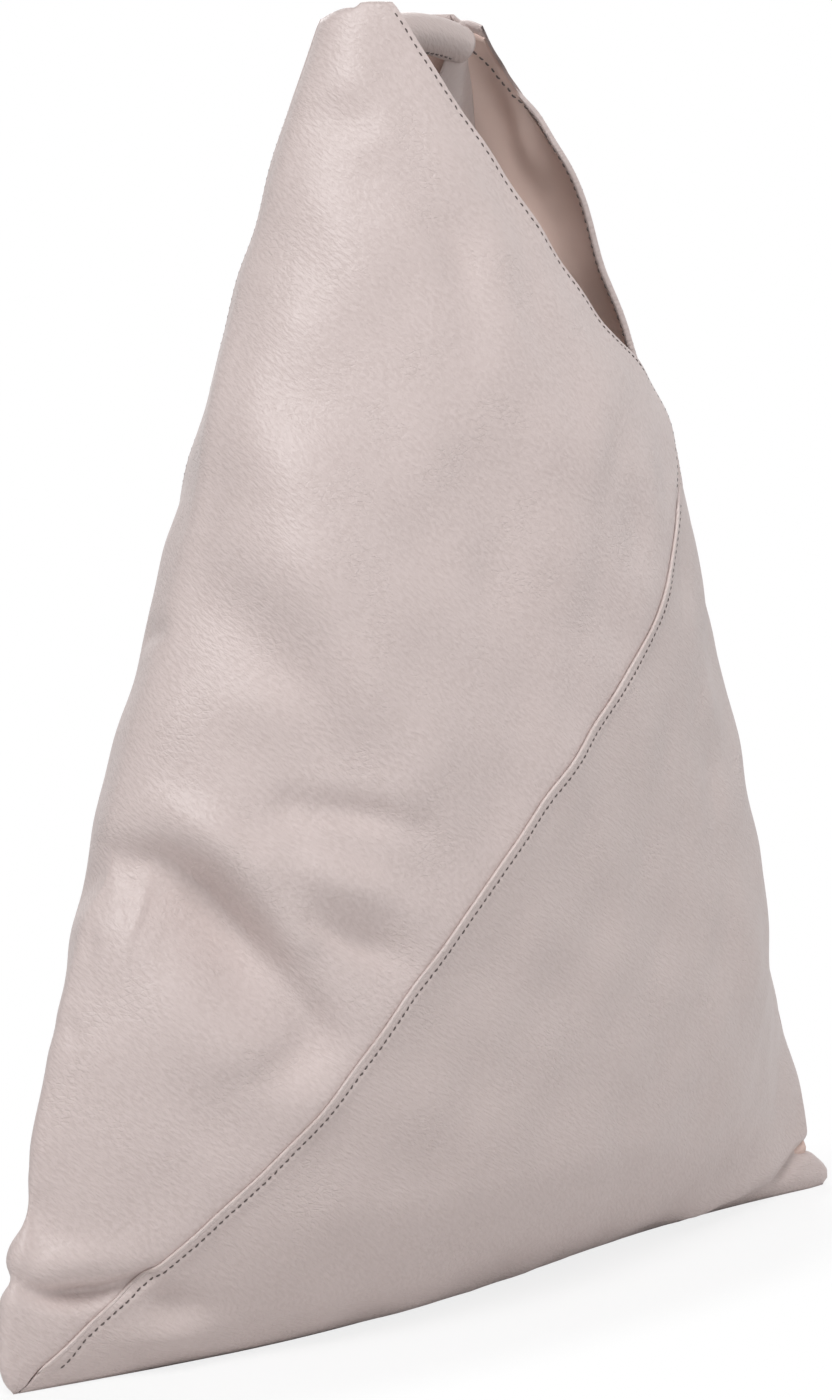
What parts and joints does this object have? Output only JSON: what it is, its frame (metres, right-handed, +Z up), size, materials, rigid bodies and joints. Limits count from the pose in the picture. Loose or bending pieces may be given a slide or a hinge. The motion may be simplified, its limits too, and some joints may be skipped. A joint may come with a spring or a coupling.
{
  "type": "folded triangle tote bag",
  "caption": "Tall soft leather tote folded to a triangle, with two diagonal seams, a short rolled handle between its peaks and an inner zip pocket.",
  "frame": {"origin": "on the floor, under the middle of the base", "axes": "+Z up, +X to the right and -Y towards a viewer of the front mouth"},
  "size_m": [0.4378, 0.1381, 0.4976],
  "materials": {
    "leather": "smooth, softly glossy pale rose-beige leather with a fine grain",
    "edge_leather": "thin rolled leather edge, lighter where it is rubbed",
    "handle_leather": "smooth pale rose-beige leather",
    "lining": "smooth matt taupe lining cloth",
    "thread": "taupe sewing thread",
    "handle_cord": "undyed cotton cord",
    "zip_tape": "woven taupe tape",
    "zip_metal": "satin brass"
  },
  "bodies": {
    "bag": {"front_panel": "leather", "back_panel": "leather", "front_seam_piping": "edge_leather", "back_seam_piping": "edge_leather", "front_seam_stitches": "thread", "back_seam_stitches": "thread", "front_panel_front_hem_stitches": "thread", "front_panel_back_hem_stitches": "thread", "back_panel_front_hem_stitches": "thread", "back_panel_back_hem_stitches": "thread", "front_lining": "lining", "back_lining": "lining", "handle_sleeve": "handle_leather", "handle_core": "handle_cord", "handle_stitches": "thread", "left_handle_tab": "handle_leather", "right_handle_tab": "handle_leather", "pocket_bag": "lining", "pocket_facing": "handle_leather", "zip_tape_upper": "zip_tape", "zip_tape_lower": "zip_tape", "zip_teeth_upper": "zip_metal", "zip_teeth_lower": "zip_metal", "zip_end_stops": "zip_metal"},
    "slider": {"zip_slider": "zip_metal"},
    "puller": {"zip_puller": "zip_metal"}
  },
  "joints": [
    {"name": "zip_slide", "type": "slide", "parent": "bag", "child": "slider", "axis": [0.9982, -0.0605, 0], "range_m": [0, 0.078]},
    {"name": "puller_swing", "type": "hinge", "parent": "slider", "child": "puller", "pos_m": [-0.03287, 0.05164, 0.28606], "axis": [0.0004, 0.0062, 1], "range_deg": [-175, 0]}
  ]
}
